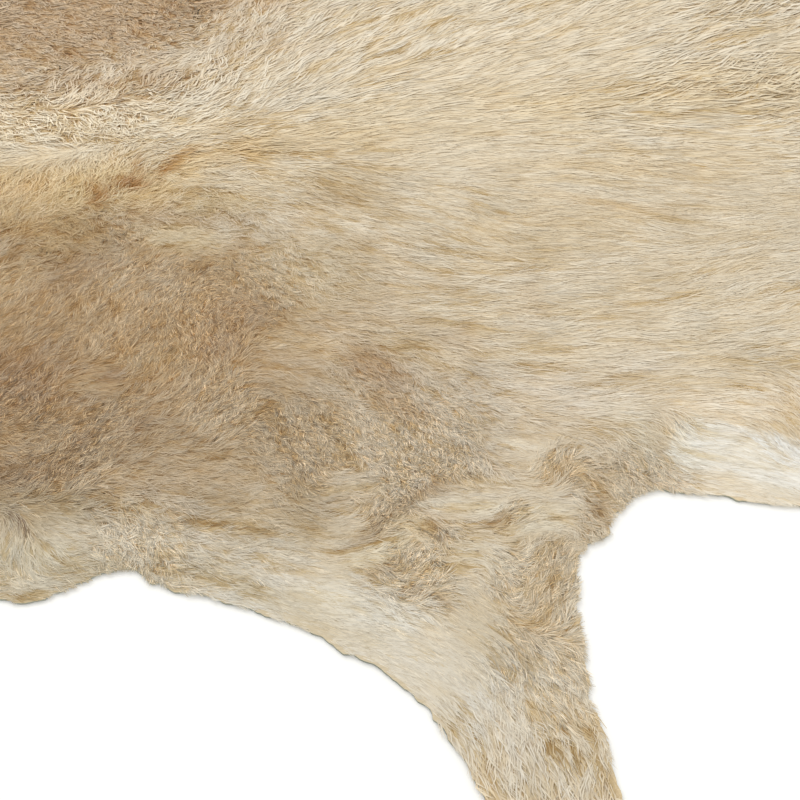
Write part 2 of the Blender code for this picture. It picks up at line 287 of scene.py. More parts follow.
# Name, place along the spine, place across it, turn in degrees, half length, half width, how soft
# the edge is from 0 to 1, colour, strength.
MARKINGS = (
    ("neck shade", -0.96, 0.0, 90, 0.42, 0.2, 0.8, "C9B08A", 0.75),
    ("near shoulder brown", -0.74, -0.34, -14, 0.33, 0.19, 0.55, "B8986A", 0.95),
    ("far shoulder brown", -0.74, 0.36, 14, 0.31, 0.19, 0.55, "BC9E78", 0.9),
    ("near shoulder dark", -0.83, -0.39, -12, 0.15, 0.09, 0.8, "A9895D", 0.85),
    ("near point brown", -0.69, -0.475, -8, 0.13, 0.06, 0.9, "A68C68", 0.7),
    ("near elbow tan", -0.4, -0.52, -10, 0.23, 0.11, 0.7, "D3C5AE", 0.9),
    ("far elbow tan", -0.4, 0.55, 10, 0.2, 0.11, 0.6, "D9CAAE", 0.85),
    ("near foreleg tan", -0.35, -0.73, 80, 0.18, 0.09, 0.7, "D9CCB4", 0.9),
    ("far foreleg tan", -0.37, 0.76, -80, 0.2, 0.1, 0.7, "D9CCB4", 0.85),
    ("near leg cream", -0.53, -0.7, -38, 0.2, 0.055, 0.6, "D9D4C8", 0.95),
    ("far leg cream", -0.53, 0.7, 38, 0.19, 0.055, 0.6, "EAE3D2", 0.9),
    ("near brisket grey", -0.79, -0.61, -8, 0.13, 0.06, 0.7, "CDC3AC", 0.92),
    ("brisket shade", -0.775, -0.535, -16, 0.071, 0.032, 0.8, "A09072", 0.6),
    ("streaks shade", -0.62, -0.55, -10, 0.056, 0.025, 0.8, "9E8458", 0.22),
    ("point rough tan", -0.555, -0.495, 16, 0.08, 0.076, 0.8, "A08250", 0.4),
    ("upper arm shade", -0.555, -0.605, -27, 0.074, 0.039, 0.8, "A6926A", 0.34),
    ("foreleg shade", -0.41, -0.725, -74, 0.037, 0.024, 0.8, "B0A389", 0.5),
    ("low side cream", -0.245, -0.475, -6, 0.087, 0.035, 0.8, "EADFCC", 0.75),
    ("elbow cream", -0.205, -0.545, -67, 0.036, 0.026, 0.8, "E4DCC8", 0.85),
    ("side gold", -0.255, -0.215, -10, 0.11, 0.039, 0.8, "D4BE94", 0.4),
    ("withers tan", -0.43, -0.115, -17, 0.051, 0.038, 0.8, "BFA678", 0.55),
    ("crest back tan", -0.495, -0.03, -2, 0.072, 0.033, 0.8, "CDB27C", 0.5),
    ("shoulder back cream", -0.495, -0.26, -30, 0.072, 0.06, 0.8, "DCCDAE", 0.72),
    ("crest foot cream", -0.59, -0.12, -12, 0.05, 0.02, 0.8, "DFCFA8", 0.5),
    ("ribs pale stroke", -0.355, -0.34, -16, 0.045, 0.016, 0.8, "F0E6D0", 0.6),
    ("barrel pale stroke", -0.275, -0.42, -12, 0.045, 0.014, 0.8, "F0E6D0", 0.55),
    ("armpit pale side", -0.175, -0.495, -20, 0.045, 0.022, 0.8, "EBE0CC", 0.6),
    ("elbow rim tan", -0.275, -0.62, 60, 0.022, 0.012, 0.8, "BCA27A", 0.6),
    ("patch surround", -0.415, -0.38, -36, 0.052, 0.02, 0.8, "DDCEB0", 0.55),
    ("far brisket grey", -0.8, 0.6, 5, 0.12, 0.06, 0.7, "D8CCB2", 0.85),
    ("crest gold", -0.78, -0.06, -6, 0.19, 0.045, 0.8, "E3CA96", 0.9),
    ("crest top cream", -0.82, 0.06, -6, 0.2, 0.06, 0.7, "F5E9CF", 0.9),
    ("far armpit white", -0.11, 0.6, 20, 0.11, 0.06, 0.45, "FCFBF5", 0.95),
    ("near swirl peach", -0.06, -0.52, -4, 0.09, 0.03, 0.8, "F6E9D2", 0.85),
    ("near belly cream", 0.16, -0.66, 4, 0.3, 0.08, 0.7, "EDE5D2", 0.8),
    ("far belly cream", 0.16, 0.66, -4, 0.3, 0.08, 0.7, "EDE5D2", 0.8),
    ("rump tan", 0.83, 0.0, 90, 0.45, 0.16, 0.9, "D6C39C", 0.6),
    ("near hind leg tan", 0.79, -0.83, -78, 0.22, 0.09, 0.7, "C9B28B", 0.8),
    ("far hind leg tan", 0.79, 0.83, 78, 0.22, 0.09, 0.7, "C9B28B", 0.8),
    ("back stripe", 0.3, 0.0, 0, 0.7, 0.05, 0.9, "DFCBA2", 0.5),
    ("neck light band", -0.81, -0.195, 42, 0.07, 0.022, 0.8, "CBB38B", 0.6),
    ("neck side brown", -0.735, -0.2, 35, 0.07, 0.036, 0.8, "AB8A60", 0.6),
    ("shoulder light streak", -0.66, -0.355, 1, 0.062, 0.016, 0.8, "C9AE84", 0.55),
    ("neck low brown", -0.815, -0.36, -14, 0.06, 0.038, 0.8, "9B7852", 0.7),
    ("shoulder gap cream", -0.525, -0.36, -25, 0.05, 0.016, 0.8, "D8C29C", 0.6),
    ("brown patch", -0.455, -0.41, -47, 0.038, 0.018, 0.8, "B08E66", 0.6),
    ("brown patch tail", -0.435, -0.47, -35, 0.03, 0.015, 0.8, "B79A72", 0.7),
    ("foreleg tan curl", -0.342, -0.69, 58, 0.053, 0.017, 0.8, "C4AA80", 0.35),
    ("brisket pale rim", -0.78, -0.585, -15, 0.064, 0.016, 0.7, "C7BEA7", 0.8),
    ("notch pale rim", -0.697, -0.585, -20, 0.056, 0.016, 0.7, "E4DBC8", 0.85),
    ("arm pale rim", -0.577, -0.66, -32, 0.08, 0.012, 0.7, "C6BBA2", 0.8),
    ("side tan stroke", -0.15, -0.195, -25, 0.07, 0.009, 0.8, "DDC499", 0.5),
    ("back tan stroke", -0.085, -0.14, -14, 0.108, 0.016, 0.8, "DFC9A0", 0.5),
    ("elbow gold strokes", -0.305, -0.57, 38, 0.014, 0.005, 0.7, "B4915A", 0.6),
    ("elbow pale streak", -0.335, -0.53, -22, 0.029, 0.007, 0.6, "E9DEC8", 0.8),
    ("armpit fork tan", -0.195, -0.555, -96, 0.03, 0.007, 0.6, "D6C4A4", 0.8),
    ("crest orange", -0.825, -0.06, 23, 0.05, 0.025, 0.8, "E0C290", 0.7),
    # The crest's cracks and kinks are golden hair in its partings, darkened with painted shade where the
    # crest parts.
    ("crest crack front", -0.73, -0.085, 39, 0.018, 0.008, 0.6, "B07A28", 0.85),
    ("crest crack", -0.695, -0.07, -13, 0.018, 0.009, 0.5, "A87224", 0.95),
    ("crest crack back", -0.64, -0.04, 51, 0.028, 0.008, 0.6, "B47E2C", 0.85),
    ("crest kink", -0.685, -0.045, -85, 0.015, 0.006, 0.6, "B88638", 0.8),
    ("crest kink front", -0.74, -0.07, -71, 0.016, 0.006, 0.6, "B88638", 0.75),
    ("crest wisps", -0.58, -0.03, 3, 0.05, 0.022, 0.8, "E0BC74", 0.6),
    ("under crest brown", -0.775, -0.145, -26, 0.098, 0.025, 0.8, "C2A062", 0.55),
    ("shoulder wedge", -0.64, -0.175, -21, 0.054, 0.02, 0.7, "DCCAA4", 0.8),
    ("shoulder spot", -0.58, -0.2, 64, 0.023, 0.011, 0.8, "BC9E70", 0.6),
    ("shoulder brown heart", -0.59, -0.315, 31, 0.044, 0.032, 0.8, "AB8962", 0.55),
    ("shoulder dark", -0.615, -0.355, 31, 0.02, 0.015, 0.8, "A07D56", 0.55),
    ("neck ridge", -0.74, -0.38, -3, 0.03, 0.011, 0.7, "BEA277", 0.7),
    ("neck ridge end", -0.72, -0.375, 11, 0.014, 0.01, 0.7, "947350", 0.7),
    ("neck low dark", -0.75, -0.455, 43, 0.022, 0.009, 0.8, "94744F", 0.65),
    ("point brown", -0.69, -0.445, 17, 0.017, 0.012, 0.8, "A07F58", 0.55),
    ("brisket brown", -0.805, -0.48, -10, 0.05, 0.016, 0.8, "987850", 0.8),
    ("point light streak", -0.66, -0.515, -6, 0.063, 0.011, 0.8, "C0A782", 0.65),
    ("brisket pale spot", -0.695, -0.55, -10, 0.016, 0.011, 0.8, "DDD0B6", 0.8),
    # The brisket crease is painted shade, a dark line where shade falls in the fold.
    ("brisket crease shade", -0.803, -0.545, -61, 0.018, 0.003, 0.5, "6E5232", 1.0),
    ("arm cream", -0.51, -0.68, -25, 0.074, 0.02, 0.6, "DDD9CD", 0.85),
    # The arm and foreleg valleys here and below are painted shade between the ridges, and the pale ridge
    # ovals paint light on the ridge tops over paler hair.
    ("arm valley", -0.47, -0.595, 31, 0.053, 0.007, 0.7, "A2865C", 0.75),
    ("foreleg valley", -0.465, -0.635, 31, 0.045, 0.006, 0.7, "AE9268", 0.55),
    ("arm ridge front", -0.485, -0.555, -2, 0.042, 0.007, 0.7, "CCBC9C", 0.6),
    ("arm ridge", -0.37, -0.6, -12, 0.063, 0.007, 0.6, "E0D6C0", 0.9),
    ("arm second ridge", -0.34, -0.625, -3, 0.028, 0.007, 0.6, "DCD1B9", 0.8),
    ("arm wedge", -0.45, -0.61, -33, 0.019, 0.01, 0.7, "DECFAF", 0.75),
    ("arm low ridge", -0.48, -0.63, 7, 0.032, 0.01, 0.6, "E4DAC2", 0.85),
    ("arm fan", -0.4, -0.645, -13, 0.031, 0.016, 0.6, "DED3BC", 0.9),
    ("arm valley back", -0.37, -0.615, 19, 0.015, 0.006, 0.7, "AC9066", 0.75),
    ("arm dark strokes", -0.43, -0.62, -85, 0.016, 0.005, 0.7, "A78A5E", 0.75),
    ("foreleg curl", -0.46, -0.675, -4, 0.009, 0.004, 0.7, "A78A5E", 0.8),
    ("foreleg arc", -0.435, -0.69, -54, 0.013, 0.004, 0.7, "BBA27A", 0.7),
    ("arm rough heart", -0.42, -0.57, 25, 0.016, 0.008, 0.8, "A98C62", 0.6),
    ("white front", -0.16, -0.56, -36, 0.034, 0.031, 0.25, "F0EEE4", 0.9),
    ("white", -0.108, -0.596, -33, 0.062, 0.037, 0.25, "F0EFEA", 1.0),
    ("white foot", -0.14, -0.62, -20, 0.055, 0.01, 0.6, "ECE6DA", 0.9),
    ("elbow gold", -0.285, -0.575, -17, 0.038, 0.017, 0.8, "C8A870", 0.35),
    # The elbow lobe line is painted shade, a dark line under the curls along the lobe's edge.
    ("elbow lobe shade line", -0.275, -0.622, -80, 0.015, 0.005, 0.6, "8E7046", 0.8),
)


def hex_colour(text):
    """An sRGB hex colour as linear red, green, blue and alpha."""
    parts = [int(text[i:i + 2], 16) / 255 for i in (0, 2, 4)]
    return tuple(c / 12.92 if c < 0.04045 else ((c + 0.055) / 1.055) ** 2.4 for c in parts) + (1.0,)


def add_node(tree, kind, settings=(), **inputs):
    """A node with its settings, and each input, by name or as in and its number, set or linked."""
    node = tree.nodes.new(kind)
    for key, value in dict(settings).items():
        setattr(node, key, value)
    for key, value in inputs.items():
        wanted = key.replace("_", " ")
        socket = node.inputs[int(key[2:])] if key.startswith("in") and key[2:].isdigit() else (
            next(s for s in node.inputs if s.name == wanted and s.enabled)
        )
        if isinstance(value, bpy.types.NodeSocket):
            tree.links.new(value, socket)
        else:
            socket.default_value = value
    return node


def coat_colour(x, y):
    """The colour at each point from the base coat and every marking, painted shade and light included.
    """
    ragged = MARK_RAGGED * layered_noise(x, y, MARK_NOISE)
    colour = np.tile(hex_colour(BASE_COAT)[:3], (len(x), 1))
    for _, *oval, soft, paint, strength in MARKINGS:
        share = np.clip((1 + soft - np.hypot(*in_oval(x, y, *oval)) - ragged) / (2 * soft), 0, 1)
        colour += (strength * smooth(share))[:, None] * (np.array(hex_colour(paint)[:3]) - colour)
    return colour


def store(mesh, name, vectors):
    """Keeps a vector for each of a mesh's points as a named attribute."""
    flat_vectors = vectors.astype(np.float32).ravel()
    mesh.attributes.new(name, "FLOAT_VECTOR", "POINT").data.foreach_set("vector", flat_vectors)


# The undercoat. Short soft hair covers the skin between the locks, matt, a shade darker than the
# coat and finely streaked along the body. The streaks' scale is in streaks to the metre.
ROOT_SHADE = "EFE3CB"
UNDERCOAT_ROUGHNESS = 0.9
UNDERCOAT_SCALE = (90.0, 700.0, 90.0)
UNDERCOAT_TONES = (0.85, 1.05)
UNDERCOAT_BUMP, UNDERCOAT_DEPTH = 0.6, 0.001
NOISE_FROM, NOISE_TO = 0.3, 0.7

undercoat = bpy.data.materials.new("undercoat on skin")
undercoat.use_nodes = True
tree = undercoat.node_tree
shader = tree.nodes["Principled BSDF"]
place = add_node(tree, "ShaderNodeTexCoord").outputs["Object"]
coat_here = add_node(tree, "ShaderNodeAttribute", {"attribute_name": "coat"}).outputs["Vector"]
combed = add_node(tree, "ShaderNodeMapping", Vector=place, Scale=UNDERCOAT_SCALE)
streaks = add_node(tree, "ShaderNodeTexNoise", Vector=combed.outputs[0], Scale=1.0, Detail=3.0)
shade = add_node(tree, "ShaderNodeMix", {"data_type": "RGBA", "blend_type": "MULTIPLY"},
                 Factor=1.0, in6=coat_here, in7=hex_colour(ROOT_SHADE))
grain = add_node(tree, "ShaderNodeMapRange", Value=streaks.outputs["Fac"], From_Min=NOISE_FROM,
                 From_Max=NOISE_TO, To_Min=UNDERCOAT_TONES[0], To_Max=UNDERCOAT_TONES[1])
toned = add_node(tree, "ShaderNodeVectorMath", {"operation": "SCALE"},
                 in0=shade.outputs[2], in3=grain.outputs[0])
tree.links.new(toned.outputs[0], shader.inputs["Base Color"])
shader.inputs["Roughness"].default_value = UNDERCOAT_ROUGHNESS
bump = add_node(tree, "ShaderNodeBump", Height=streaks.outputs["Fac"],
                Strength=UNDERCOAT_BUMP, Distance=UNDERCOAT_DEPTH)
tree.links.new(bump.outputs[0], shader.inputs["Normal"])

# The flesh side. Below and on its cut edge the leather is pale grey suede, buffed to a fine nap and
# a little blotched. Its scales are in tufts and blotches to the metre.
SUEDE = "A8A898"
SUEDE_DARK = "7C7E70"
SUEDE_ROUGHNESS = 0.95
NAP_SCALE, BLOTCH_SCALE = 900.0, 9.0
NAP_BUMP, NAP_DEPTH = 0.4, 0.0004
FACES_UP = 0.5

suede = bpy.data.materials.new("suede flesh side")
suede.use_nodes = True
tree = suede.node_tree
shader = tree.nodes["Principled BSDF"]
place = add_node(tree, "ShaderNodeTexCoord").outputs["Object"]
nap = add_node(tree, "ShaderNodeTexNoise", Vector=place, Scale=NAP_SCALE, Detail=3.0)
blotch = add_node(tree, "ShaderNodeTexNoise", Vector=place, Scale=BLOTCH_SCALE, Detail=5.0)
tone = add_node(tree, "ShaderNodeMix", {"data_type": "RGBA"}, Factor=blotch.outputs["Fac"],
                in6=hex_colour(SUEDE), in7=hex_colour(SUEDE_DARK))
tree.links.new(tone.outputs[2], shader.inputs["Base Color"])
shader.inputs["Roughness"].default_value = SUEDE_ROUGHNESS
bump = add_node(tree, "ShaderNodeBump", Height=nap.outputs["Fac"],
                Strength=NAP_BUMP, Distance=NAP_DEPTH)
tree.links.new(bump.outputs[0], shader.inputs["Normal"])

skin_spots = np.empty(3 * len(leather_mesh.vertices))
leather_mesh.vertices.foreach_get("co", skin_spots)
store(leather_mesh, "coat", coat_colour(skin_spots[0::3], skin_spots[1::3]))
leather_mesh.materials.append(undercoat)
leather_mesh.materials.append(suede)
for face in leather_mesh.polygons:
    face.material_index = 0 if face.normal.z > FACES_UP else 1


# The lay of the hair. Hair grows in locks that lean one way, back along the body, down the legs and
# round whorls at the shoulder and armpit. A table gives the lay where it is seen closely, and
# elsewhere it follows the body. Lays and turns in degrees are anticlockwise from above.
LOCK_LENGTH = 0.036
LEG_LOCK_LENGTH = 0.020
SHORTENS_WITHIN = 0.10
BODY_HALF, SIDE_LAY, SIDE_LAY_POWER = 0.60, 24, 1.5
LEG_TURN_RUN, LEG_LAY = 0.16, 60
BODY_CURL = 0.25
BODY_CURL_SIZE, BODY_CURL_SEED = 0.09, 11
BASE_LAY_WEIGHT = 0.03
LAY_REACH = 0.85
WIDEST_REACH = 0.05
FAR_SIDE_SHARE = 0.7

# Name, place along the spine, place across it, lay in degrees from the spine, how far the lay
# reaches, curl from 0 to 1, lock length. Where two reach, the closer-set one counts for more.
LAY = (
    ("crest smooth", -0.82, 0.03, -19, 0.05, 0.1, 0.034),
    ("crest end", -0.61, -0.01, 19, 0.05, 0.35, 0.026),
    ("withers", -0.5, -0.02, -13, 0.06, 0.1, 0.036),
    ("below crest", -0.62, -0.12, -46, 0.04, 0.95, 0.018),
    ("below withers", -0.54, -0.1, -40, 0.04, 0.4, 0.017),
    ("upper side", -0.45, -0.14, -34, 0.05, 0.16, 0.025),
    ("neck under crest", -0.78, -0.15, -52, 0.04, 0.95, 0.017),
    ("neck side front", -0.82, -0.2, 40, 0.05, 0.5, 0.011),
    ("neck side", -0.74, -0.22, 54, 0.05, 0.5, 0.01),
    ("shoulder top", -0.66, -0.28, 62, 0.05, 0.6, 0.009),
    ("shoulder front", -0.8, -0.3, 45, 0.05, 0.5, 0.011),
    ("shoulder", -0.7, -0.33, 54, 0.05, 0.6, 0.01),
    ("shoulder turn", -0.61, -0.33, 85, 0.03, 0.75, 0.008),
    ("shoulder curls", -0.57, -0.28, -61, 0.04, 0.7, 0.009),
    ("shoulder back", -0.51, -0.25, -43, 0.05, 0.6, 0.012),
    ("ribs top", -0.42, -0.25, -27, 0.06, 0.2, 0.029),
    ("ribs", -0.43, -0.36, -18, 0.05, 0.2, 0.029),
    ("shoulder gap", -0.53, -0.37, -23, 0.04, 0.3, 0.018),
    ("brown patch", -0.46, -0.4, -52, 0.03, 0.6, 0.009),
    ("brisket streaks", -0.81, -0.44, -13, 0.03, 0.5, 0.01),
    ("brisket rough", -0.73, -0.45, 43, 0.03, 0.6, 0.008),
    ("shoulder low", -0.68, -0.48, -12, 0.04, 0.4, 0.017),
    ("shoulder rough", -0.62, -0.44, 47, 0.03, 0.6, 0.008),
    ("point streaks", -0.64, -0.53, -8, 0.04, 0.35, 0.017),
    ("point rough", -0.54, -0.49, -62, 0.04, 0.55, 0.008),
    ("neck edge", -0.78, -0.57, -18, 0.04, 0.35, 0.014),
    ("notch swirl", -0.69, -0.58, -70, 0.03, 0.7, 0.009),
    ("upper arm", -0.61, -0.6, -20, 0.04, 0.25, 0.014),
    ("arm", -0.48, -0.65, -70, 0.03, 0.6, 0.008),
    ("side top", -0.31, -0.08, -4, 0.07, 0.06, 0.038),
    ("side slant", -0.31, -0.18, -38, 0.04, 0.18, 0.018),
    ("side", -0.2, -0.12, -10, 0.07, 0.06, 0.04),
    ("side stroke", -0.12, -0.21, -24, 0.05, 0.12, 0.034),
    ("side back", -0.03, -0.18, -18, 0.07, 0.07, 0.04),
    ("barrel back", -0.05, -0.33, 2, 0.08, 0.12, 0.044),
    ("barrel", -0.24, -0.36, -8, 0.07, 0.12, 0.042),
    ("barrel low", -0.3, -0.45, -17, 0.05, 0.2, 0.031),
    ("barrel low back", -0.17, -0.48, -6, 0.05, 0.12, 0.042),
    ("elbow top", -0.38, -0.47, -52, 0.04, 0.5, 0.009),
    ("elbow", -0.43, -0.52, -76, 0.04, 0.6, 0.008),
    ("swirl", -0.09, -0.54, -60, 0.03, 0.3, 0.017),
    ("armpit", -0.22, -0.58, -66, 0.025, 0.6, 0.01),
    ("leg curls low", -0.35, -0.74, -70, 0.04, 0.4, 0.011),
    ("arm ridge front", -0.505, -0.555, 0, 0.014, 0.25, 0.014),
    ("arm ridge", -0.42, -0.59, -11, 0.012, 0.12, 0.02),
    ("arm ridge middle", -0.38, -0.59, -11, 0.012, 0.12, 0.02),
    ("arm ridge back", -0.335, -0.6, -16, 0.012, 0.12, 0.02),
    ("arm second ridge", -0.35, -0.625, -5, 0.011, 0.12, 0.018),
    ("arm second ridge back", -0.32, -0.62, -17, 0.011, 0.15, 0.016),
    ("arm low ridge", -0.5, -0.62, 9, 0.014, 0.12, 0.018),
    ("arm low ridge back", -0.465, -0.62, 9, 0.012, 0.15, 0.016),
    ("arm valley", -0.475, -0.6, 44, 0.013, 0.75, 0.008),
    ("arm valley back", -0.355, -0.61, 43, 0.01, 0.6, 0.009),
    ("arm dark strokes", -0.43, -0.62, -82, 0.011, 0.8, 0.009),
    ("arm fan", -0.41, -0.64, -7, 0.012, 0.12, 0.02),
    ("arm fan back", -0.385, -0.65, -24, 0.012, 0.2, 0.016),
    ("arm fan end", -0.38, -0.66, -76, 0.011, 0.6, 0.01),
    ("foreleg strokes", -0.455, -0.645, 42, 0.011, 0.65, 0.009),
    ("foreleg curl", -0.455, -0.67, 24, 0.013, 0.65, 0.009),
    ("foreleg swirl", -0.345, -0.665, 42, 0.018, 0.5, 0.01),
    ("foreleg side", -0.34, -0.71, 62, 0.02, 0.45, 0.011),
    ("elbow strokes", -0.305, -0.565, 45, 0.012, 0.55, 0.01),
    ("elbow gold curls", -0.275, -0.585, -37, 0.012, 0.5, 0.012),
    ("elbow lobe", -0.29, -0.64, -52, 0.012, 0.6, 0.012),
    ("elbow pale streak", -0.335, -0.53, -22, 0.012, 0.12, 0.018),
    ("arm rough heart", -0.445, -0.56, -66, 0.014, 0.75, 0.008),
    ("crease left", -0.81, -0.555, -109, 0.012, 0.15, 0.014),
    ("crease right", -0.78, -0.55, -36, 0.014, 0.15, 0.016),
    ("crease foot", -0.795, -0.58, -80, 0.012, 0.2, 0.014),
    ("armpit fork", -0.175, -0.535, -83, 0.012, 0.3, 0.01),
    ("white front", -0.155, -0.555, -28, 0.022, 0.04, 0.024),
    ("white", -0.12, -0.58, -28, 0.028, 0.04, 0.026),
    ("white back", -0.085, -0.61, -31, 0.028, 0.04, 0.026),
    ("peach swirl", -0.105, -0.52, -5, 0.02, 0.15, 0.024),
    ("peach swirl end", -0.08, -0.565, -66, 0.018, 0.25, 0.018),
    ("crest far left", -0.835, -0.07, 54, 0.025, 0.85, 0.02),
    ("crest", -0.78, -0.06, 72, 0.025, 0.85, 0.02),
    ("crest front end", -0.72, -0.05, 74, 0.025, 0.9, 0.018),
    ("crest turn", -0.685, -0.02, 23, 0.02, 0.6, 0.02),
    ("crest back", -0.665, -0.09, 19, 0.025, 0.6, 0.02),
    ("crest back end", -0.615, -0.07, -22, 0.03, 0.35, 0.024),
    ("wedge", -0.64, -0.175, -21, 0.022, 0.3, 0.018),
    ("under crest left", -0.825, -0.115, 37, 0.022, 0.8, 0.014),
    ("under crest", -0.725, -0.15, -51, 0.022, 0.85, 0.012),
    ("neck ridge", -0.74, -0.38, -15, 0.014, 0.2, 0.016),
    ("neck smooth", -0.82, -0.445, -15, 0.014, 0.3, 0.012),
    ("shoulder strokes", -0.655, -0.225, 27, 0.022, 0.6, 0.01),
    ("arm wedge", -0.45, -0.61, -35, 0.011, 0.2, 0.014),
    ("arm edge", -0.56, -0.68, -38, 0.05, 0.04, 0.018),
    ("arm edge end", -0.54, -0.655, -19, 0.02, 0.04, 0.016),
    ("arm cream", -0.51, -0.68, -25, 0.03, 0.04, 0.016),
    ("arm cream back", -0.445, -0.705, -43, 0.032, 0.03, 0.016),
    ("foreleg valley", -0.465, -0.635, 40, 0.01, 0.85, 0.008),
    ("white low", -0.15, -0.595, -22, 0.018, 0.05, 0.024),
    ("neck rough", -0.81, -0.405, 42, 0.03, 0.6, 0.008),
    ("neck rough low", -0.77, -0.48, 40, 0.025, 0.6, 0.008),
)


def body_lay(y):
    """The lay away from the table: back along the spine, outward down the sides and legs."""
    out = np.abs(y)
    side = np.clip(out / BODY_HALF, 0, 1) ** SIDE_LAY_POWER * SIDE_LAY
    leg = np.clip((out - BODY_HALF) / LEG_TURN_RUN, 0, 1) * LEG_LAY
    return np.radians(np.sign(y) * (side + leg))


def comb():
    """Grids of the lay's direction, the curl and the lock length."""
    x, y = np.meshgrid(grid_x, grid_y)
    base = body_lay(y)
    total = np.full(x.shape, BASE_LAY_WEIGHT)
    right, up = np.cos(base) * total, np.sin(base) * total
    curl = BODY_CURL * (1 + value_noise(x, y, BODY_CURL_SIZE, BODY_CURL_SEED)) * total
    on_body = np.clip(inward / SHORTENS_WITHIN, 0, 1)
    length = (LEG_LOCK_LENGTH + (LOCK_LENGTH - LEG_LOCK_LENGTH) * on_body) * total
    for _, along, across, lay, reach, curly, long in LAY:
        spread = 2 * (LAY_REACH * reach) ** 2
        strength = (WIDEST_REACH / reach) ** 2
        near = strength * np.exp(-((x - along) ** 2 + (y - across) ** 2) / spread)
        far = FAR_SIDE_SHARE * strength * np.exp(-((x - along) ** 2 + (y + across) ** 2) / spread)
        total += near + far
        right += math.cos(math.radians(lay)) * (near + far)
        up += math.sin(math.radians(lay)) * (near - far)
        curl += curly * (near + far)
        length += long * (near + far)
    return right / total, up / total, curl / total, length / total


lay_right, lay_up, lay_curl, lay_length = comb()


def lay_at(x, y):
    """The lay at each point, in radians from the spine."""
    return np.arctan2(read_grid(lay_up, x, y), read_grid(lay_right, x, y))


# The hair. It is clipped nowhere, so it lies in thousands of locks: three to five centimetres long
# and nearly straight on the side, one to two and curled on the shoulder and legs. Each lock is a
# bunch of flat tapered strands, and each strand stands for a few dozen real hairs.
DICE_SEED = 21
SEED_SPACING = 0.0024
ROOT_INSET, STRAND_INSET = 0.001, 0.0005
STRANDS_PER_LOCK = 8
LOCK_BREADTH = 5.0
LOCK_RUN = 0.35
LOCK_LENGTHS = (0.8, 1.2)
MOST_RANK = 2
STRAND_LENGTHS = (0.8, 1.15)
STRAND_WIDTHS = (0.75, 1.25)
STUB_HAIR, SHORT_HAIR, LONG_HAIR = 0.012, 0.015, 0.024
OVERHANG, OVERHANGS = 0.0035, (0.3, 1.5)
ROOT_DEPTH = 0.0002

# Multiples of these two, less their whole parts, fill 0 to 1 evenly over rows and columns.
EVEN_SPREAD = (0.7548777, 0.5698403)

# Strands are finest near the shoulder, where the rug is looked at closely, and broader, longer and
# fewer elsewhere. The cover is how many strands deep the hair lies.
CLOSE_PLACE = (-0.435, -0.453)
CLOSE_TURN = math.radians(-9.7)
CLOSE_ALONG, CLOSE_WIDENS = 0.43, 0.16
CLOSE_ACROSS = (-0.30, 0.30)
COARSENS_OVER = 0.24
COARSE, COARSE_LONGER = 2.5, 0.30
NARROWEST = 0.00066
WIDTH_TO_LENGTH = 0.0090
SHORT_COVER, LONG_COVER = 3.4, 4.4

# How wide a strand is at each of its stations, as a share of its width: a straight spike for the
# low layer and the shortest hair, a blade for short hair, and two that bend and end in a point. The
# share of its length times its width that each covers follows.
TAPERS = ((1.0, 0.0), (1.0, 0.4), (0.9, 1.0, 0.0), (0.7, 1.0, 0.75, 0.0))
SPIKE, BLADE, BENT, WAVY = range(len(TAPERS))
SPIKE_COVER, BLADE_COVER, BENT_COVER = 0.5, 0.7, 0.72
PLAIN_CURL, PLAIN_COARSE = 0.4, 1.6

# How far locks turn from the lay, in radians: where hair is curled, by noise of two sizes and a
# little each, and everywhere by a broad drift. Where two values are given for a strand, the second
# is added in full where the curl is 1.
CURL_TURNS = ((0.55, 0.022, 31), (0.45, 0.008, 32))
DRIFT_TURNS = ((0.14, 0.040, 33), (0.11, 0.013, 34))
CURL_TURN_EACH, DRIFT_TURN_EACH = 0.25, 0.04
LEAST_BEND, BEND_FROM = 0.12, 0.35
WAVES = 5.0
LEAST_WAVE, WAVE_TURN = 0.12, 0.80
STRAND_TURN = (0.03, 0.16)
STRAND_BEND = (0.05, 0.20)
STRAND_ROLL = (0.04, 0.14)
DRAW_TOGETHER = 0.50
DROOP = 0.35
SHORTEST_TRIM = 0.15

# Ridges where locks pile up on one another: name, place along the spine, place across it, turn in
# degrees, half length, half width, height. The curled hair is ruffled besides.
RIDGES = (
    ("crest", -0.745, -0.060, 10, 0.144, 0.025, 0.0040),
    ("neck ridge", -0.740, -0.380, -3, 0.030, 0.013, 0.0022),
    ("arm ridge front", -0.485, -0.555, -2, 0.042, 0.008, 0.0024),
    ("arm ridge", -0.370, -0.600, -12, 0.063, 0.009, 0.0022),
    ("arm second ridge", -0.340, -0.625, -3, 0.028, 0.008, 0.0022),
    ("arm wedge", -0.450, -0.610, -33, 0.019, 0.011, 0.0022),
    ("arm low ridge", -0.485, -0.625, 7, 0.024, 0.008, 0.0022),
    ("arm fan", -0.400, -0.640, -13, 0.031, 0.017, 0.0040),
)
RUFFLE, SMOOTH_RUFFLE, HIGHEST_RUFFLE = 0.0013, 0.2, 3
RUFFLE_NOISE = ((1.0, 0.024, 71), (0.6, 0.012, 72))
FLAT_RIM = 0.020


def hair_ground():
    """A grid of the height the strands grow from: the leather, with the ridges and ruffles on it."""
    x, y = np.meshgrid(grid_x, grid_y)
    pile = np.zeros(x.shape)
    for _, *oval, rise in RIDGES:
        pile += rise * mound(x, y, oval)
    ruffled = RUFFLE * (SMOOTH_RUFFLE + (1 - SMOOTH_RUFFLE) * lay_curl)
    pile += ruffled * np.clip(1 + layered_noise(x, y, RUFFLE_NOISE), 0, HIGHEST_RUFFLE)
    pile *= np.clip(inward / FLAT_RIM, 0, 1)
    return leather_height(x, y) + LEATHER_THICKNESS - ROOT_DEPTH + pile


